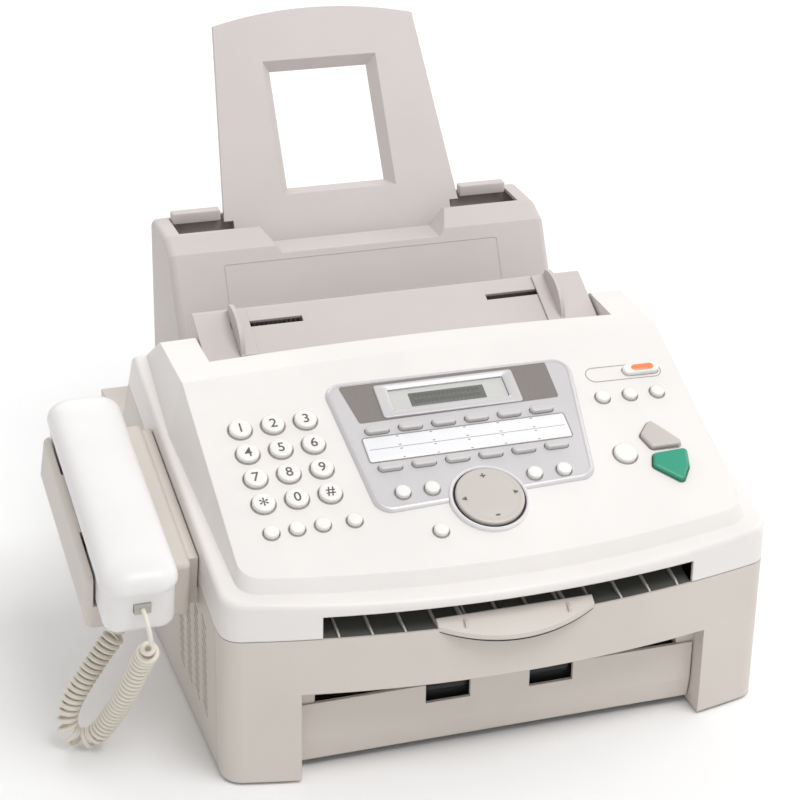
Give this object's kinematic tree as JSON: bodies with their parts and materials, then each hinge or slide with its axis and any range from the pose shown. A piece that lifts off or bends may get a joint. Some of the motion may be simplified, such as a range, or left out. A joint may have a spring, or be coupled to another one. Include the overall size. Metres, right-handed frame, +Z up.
{
  "type": "fax machine",
  "caption": "Desktop laser fax machine with hinged operation panel, rear paper support, side handset cradle and curly handset cord.",
  "frame": {"origin": "middle of the footprint at table level, without the handset cord", "axes": "+Z up, +Y from the front towards the rear, +X to the right seen from the front"},
  "size_m": [0.4416, 0.4526, 0.3556],
  "materials": {
    "case_white": "fine moulded satin",
    "case_grey": "fine moulded texture",
    "hopper_grey": "fine moulded texture",
    "handset_white": "satin",
    "key_white": "satin",
    "key_grey": "satin",
    "key_beige": "satin",
    "key_green": "satin",
    "silver_trim": "silver paint",
    "lcd_glass": "clear",
    "lcd_grey": "matte",
    "board_green": "solder mask",
    "steel": "zinc plated",
    "dark_plastic": "matte",
    "gear_plastic": "satin",
    "drum_coat": "gloss",
    "roller_rubber": "matte",
    "foot_rubber": "matte",
    "cord_plastic": "satin",
    "plug_clear": "clear"
  },
  "bodies": {
    "base": {"base_housing": "case_grey", "front_cover": "case_grey", "rear_hood": "hopper_grey", "document_table": "hopper_grey", "scanner_deck": "dark_plastic", "image_sensor": "dark_plastic", "chassis_frame": "steel", "drive_motor": "steel", "toner_cartridge": "dark_plastic", "laser_unit": "dark_plastic", "main_board": "board_green", "rubber_feet": "foot_rubber", "case_screws": "steel", "handset_cradle": "case_grey", "handset_cord": "cord_plastic"},
    "cover": {"top_cover": "case_white", "panel_bezel": "silver_trim", "lcd_window": "lcd_glass", "lcd_module": "lcd_grey", "control_board": "board_green"},
    "flap": {"exit_flap": "case_grey"},
    "tray": {"paper_tray": "hopper_grey"},
    "guide_left": {"document_guide_left": "hopper_grey"},
    "guide_right": {"document_guide_right": "hopper_grey"},
    "guide_gear": {"guide_pinion": "gear_plastic"},
    "feed_roller": {"document_feed_roller": "roller_rubber"},
    "drum": {"photo_drum": "drum_coat"},
    "idler": {"idler_gear": "gear_plastic"},
    "heat_roller": {"fuser_heat_roller": "steel"},
    "pressure_roller": {"fuser_pressure_roller": "roller_rubber"},
    "exit_idler": {"exit_idler_gear": "gear_plastic"},
    "exit_roller": {"exit_roller": "roller_rubber"},
    "motor_pinion": {"motor_pinion": "steel"},
    "pickup_roller": {"pickup_roller": "roller_rubber"},
    "handset": {"handset_upper_shell": "handset_white", "handset_lower_shell": "handset_white", "handset_plug": "plug_clear"},
    "hook": {"hook_switch": "key_grey"},
    "key_1": {"key_1": "key_white"},
    "key_2": {"key_2": "key_white"},
    "key_3": {"key_3": "key_white"},
    "key_4": {"key_4": "key_white"},
    "key_5": {"key_5": "key_white"},
    "key_6": {"key_6": "key_white"},
    "key_7": {"key_7": "key_white"},
    "key_8": {"key_8": "key_white"},
    "key_9": {"key_9": "key_white"},
    "key_star": {"key_star": "key_white"},
    "key_0": {"key_0": "key_white"},
    "key_hash": {"key_hash": "key_white"},
    "function_keys": {"function_keys": "key_white"},
    "one_touch_upper_keys": {"one_touch_upper_keys": "key_grey"},
    "one_touch_lower_keys": {"one_touch_lower_keys": "key_grey"},
    "caller_keys": {"caller_keys": "key_white"},
    "mode_keys": {"mode_keys": "key_white"},
    "answer_key": {"answer_key": "key_white"},
    "stop_key": {"stop_key": "key_white"},
    "copy_start_key": {"copy_start_key": "key_beige"},
    "fax_start_key": {"fax_start_key": "key_green"},
    "navigation_disc": {"navigation_disc": "key_beige"}
  },
  "joints": [
    {"name": "cover_hinge", "type": "hinge", "parent": "base", "child": "cover", "pos_m": [0.035, 0.06371, 0.134], "axis": [-1, 0, 0], "range_deg": [0, 35]},
    {"name": "flap_hinge", "type": "hinge", "parent": "base", "child": "flap", "pos_m": [0.035, -0.18629, 0.009], "axis": [1, 0, 0], "range_deg": [0, 80]},
    {"name": "tray_lift", "type": "slide", "parent": "base", "child": "tray", "axis": [0, 0.5373, 0.8434], "range_m": [0, 0.055]},
    {"name": "guide_left_slide", "type": "slide", "parent": "base", "child": "guide_left", "axis": [1, 0, 0], "range_m": [0, 0.045]},
    {"name": "guide_right_slide", "type": "slide", "parent": "base", "child": "guide_right", "axis": [-1, 0, 0], "range_m": [0, 0.045]},
    {"name": "guide_gear_spin", "type": "hinge", "parent": "base", "child": "guide_gear", "pos_m": [0.035, 0.01977, 0.20251], "axis": [0, -0.4578, 0.8891], "range_deg": [-325, 5]},
    {"name": "feed_roller_spin", "type": "hinge", "parent": "base", "child": "feed_roller", "pos_m": [0.035, -0.04165, 0.15827], "axis": [1, 0, 0], "continuous": true},
    {"name": "drum_spin", "type": "hinge", "parent": "base", "child": "drum", "pos_m": [0.035, -0.06429, 0.062], "axis": [1, 0, 0], "continuous": true},
    {"name": "idler_spin", "type": "hinge", "parent": "base", "child": "idler", "pos_m": [0.035, -0.10029, 0.06241], "axis": [1, 0, 0], "continuous": true},
    {"name": "heat_roller_spin", "type": "hinge", "parent": "base", "child": "heat_roller", "pos_m": [0.035, -0.12729, 0.055], "axis": [1, 0, 0], "continuous": true},
    {"name": "pressure_roller_spin", "type": "hinge", "parent": "base", "child": "pressure_roller", "pos_m": [0.035, -0.12729, 0.0337], "axis": [1, 0, 0], "continuous": true},
    {"name": "exit_idler_spin", "type": "hinge", "parent": "base", "child": "exit_idler", "pos_m": [0.035, -0.1462, 0.05314], "axis": [1, 0, 0], "continuous": true},
    {"name": "exit_roller_spin", "type": "hinge", "parent": "base", "child": "exit_roller", "pos_m": [0.035, -0.16029, 0.048], "axis": [1, 0, 0], "continuous": true},
    {"name": "motor_pinion_spin", "type": "hinge", "parent": "base", "child": "motor_pinion", "pos_m": [0.035, -0.05331, 0.08556], "axis": [1, 0, 0], "continuous": true},
    {"name": "pickup_roller_spin", "type": "hinge", "parent": "base", "child": "pickup_roller", "pos_m": [0.035, 0.09371, 0.132], "axis": [1, 0, 0], "continuous": true},
    {"name": "handset_lift", "type": "slide", "parent": "base", "child": "handset", "axis": [0, -0.2164, 0.9763], "range_m": [0, 0.06], "deforming": ["handset_cord"]},
    {"name": "hook_lift", "type": "slide", "parent": "base", "child": "hook", "axis": [0, -0.2164, 0.9763], "range_m": [0, 0.004]},
    {"name": "key_1_press", "type": "slide", "parent": "cover", "child": "key_1", "axis": [0, 0.4074, -0.9133], "range_m": [0, 0.001], "stiffness_N_per_m": 600, "springref_m": -0.0005},
    {"name": "key_2_press", "type": "slide", "parent": "cover", "child": "key_2", "axis": [0, 0.4074, -0.9133], "range_m": [0, 0.001], "stiffness_N_per_m": 600, "springref_m": -0.0005},
    {"name": "key_3_press", "type": "slide", "parent": "cover", "child": "key_3", "axis": [0, 0.4074, -0.9133], "range_m": [0, 0.001], "stiffness_N_per_m": 600, "springref_m": -0.0005},
    {"name": "key_4_press", "type": "slide", "parent": "cover", "child": "key_4", "axis": [0, 0.4074, -0.9133], "range_m": [0, 0.001], "stiffness_N_per_m": 600, "springref_m": -0.0005},
    {"name": "key_5_press", "type": "slide", "parent": "cover", "child": "key_5", "axis": [0, 0.4074, -0.9133], "range_m": [0, 0.001], "stiffness_N_per_m": 600, "springref_m": -0.0005},
    {"name": "key_6_press", "type": "slide", "parent": "cover", "child": "key_6", "axis": [0, 0.4074, -0.9133], "range_m": [0, 0.001], "stiffness_N_per_m": 600, "springref_m": -0.0005},
    {"name": "key_7_press", "type": "slide", "parent": "cover", "child": "key_7", "axis": [0, 0.4074, -0.9133], "range_m": [0, 0.001], "stiffness_N_per_m": 600, "springref_m": -0.0005},
    {"name": "key_8_press", "type": "slide", "parent": "cover", "child": "key_8", "axis": [0, 0.4074, -0.9133], "range_m": [0, 0.001], "stiffness_N_per_m": 600, "springref_m": -0.0005},
    {"name": "key_9_press", "type": "slide", "parent": "cover", "child": "key_9", "axis": [0, 0.4074, -0.9133], "range_m": [0, 0.001], "stiffness_N_per_m": 600, "springref_m": -0.0005},
    {"name": "key_star_press", "type": "slide", "parent": "cover", "child": "key_star", "axis": [0, 0.4074, -0.9133], "range_m": [0, 0.001], "stiffness_N_per_m": 600, "springref_m": -0.0005},
    {"name": "key_0_press", "type": "slide", "parent": "cover", "child": "key_0", "axis": [0, 0.4074, -0.9133], "range_m": [0, 0.001], "stiffness_N_per_m": 600, "springref_m": -0.0005},
    {"name": "key_hash_press", "type": "slide", "parent": "cover", "child": "key_hash", "axis": [0, 0.4074, -0.9133], "range_m": [0, 0.001], "stiffness_N_per_m": 600, "springref_m": -0.0005},
    {"name": "function_keys_press", "type": "slide", "parent": "cover", "child": "function_keys", "axis": [0, 0.4074, -0.9133], "range_m": [0, 0.001], "stiffness_N_per_m": 600, "springref_m": -0.0005},
    {"name": "one_touch_upper_keys_press", "type": "slide", "parent": "cover", "child": "one_touch_upper_keys", "axis": [0, 0.4074, -0.9133], "range_m": [0, 0.001], "stiffness_N_per_m": 600, "springref_m": -0.0005},
    {"name": "one_touch_lower_keys_press", "type": "slide", "parent": "cover", "child": "one_touch_lower_keys", "axis": [0, 0.4074, -0.9133], "range_m": [0, 0.001], "stiffness_N_per_m": 600, "springref_m": -0.0005},
    {"name": "caller_keys_press", "type": "slide", "parent": "cover", "child": "caller_keys", "axis": [0, 0.4074, -0.9133], "range_m": [0, 0.001], "stiffness_N_per_m": 600, "springref_m": -0.0005},
    {"name": "mode_keys_press", "type": "slide", "parent": "cover", "child": "mode_keys", "axis": [0, 0.4074, -0.9133], "range_m": [0, 0.001], "stiffness_N_per_m": 600, "springref_m": -0.0005},
    {"name": "answer_key_press", "type": "slide", "parent": "cover", "child": "answer_key", "axis": [0, 0.4074, -0.9133], "range_m": [0, 0.001], "stiffness_N_per_m": 600, "springref_m": -0.0005},
    {"name": "stop_key_press", "type": "slide", "parent": "cover", "child": "stop_key", "axis": [0, 0.4074, -0.9133], "range_m": [0, 0.001], "stiffness_N_per_m": 600, "springref_m": -0.0005},
    {"name": "copy_start_key_press", "type": "slide", "parent": "cover", "child": "copy_start_key", "axis": [0, 0.4074, -0.9133], "range_m": [0, 0.001], "stiffness_N_per_m": 600, "springref_m": -0.0005},
    {"name": "fax_start_key_press", "type": "slide", "parent": "cover", "child": "fax_start_key", "axis": [0, 0.4074, -0.9133], "range_m": [0, 0.001], "stiffness_N_per_m": 600, "springref_m": -0.0005},
    {"name": "navigation_disc_press", "type": "slide", "parent": "cover", "child": "navigation_disc", "axis": [0, 0.4074, -0.9133], "range_m": [0, 0.001], "stiffness_N_per_m": 600, "springref_m": -0.0005}
  ],
  "couplings": [
    {"joint": "guide_right_slide", "follows": "guide_left_slide", "ratio": 1},
    {"joint": "guide_gear_spin", "follows": "guide_left_slide", "rad_per_m": -125},
    {"joint": "idler_spin", "follows": "drum_spin", "ratio": -1.25},
    {"joint": "heat_roller_spin", "follows": "drum_spin", "ratio": 1.6667},
    {"joint": "pressure_roller_spin", "follows": "drum_spin", "ratio": -1.8333},
    {"joint": "exit_idler_spin", "follows": "drum_spin", "ratio": -2.8571},
    {"joint": "exit_roller_spin", "follows": "drum_spin", "ratio": 2.5},
    {"joint": "motor_pinion_spin", "follows": "drum_spin", "ratio": -3.3333},
    {"joint": "hook_lift", "follows": "handset_lift", "ratio": 0.066667}
  ]
}
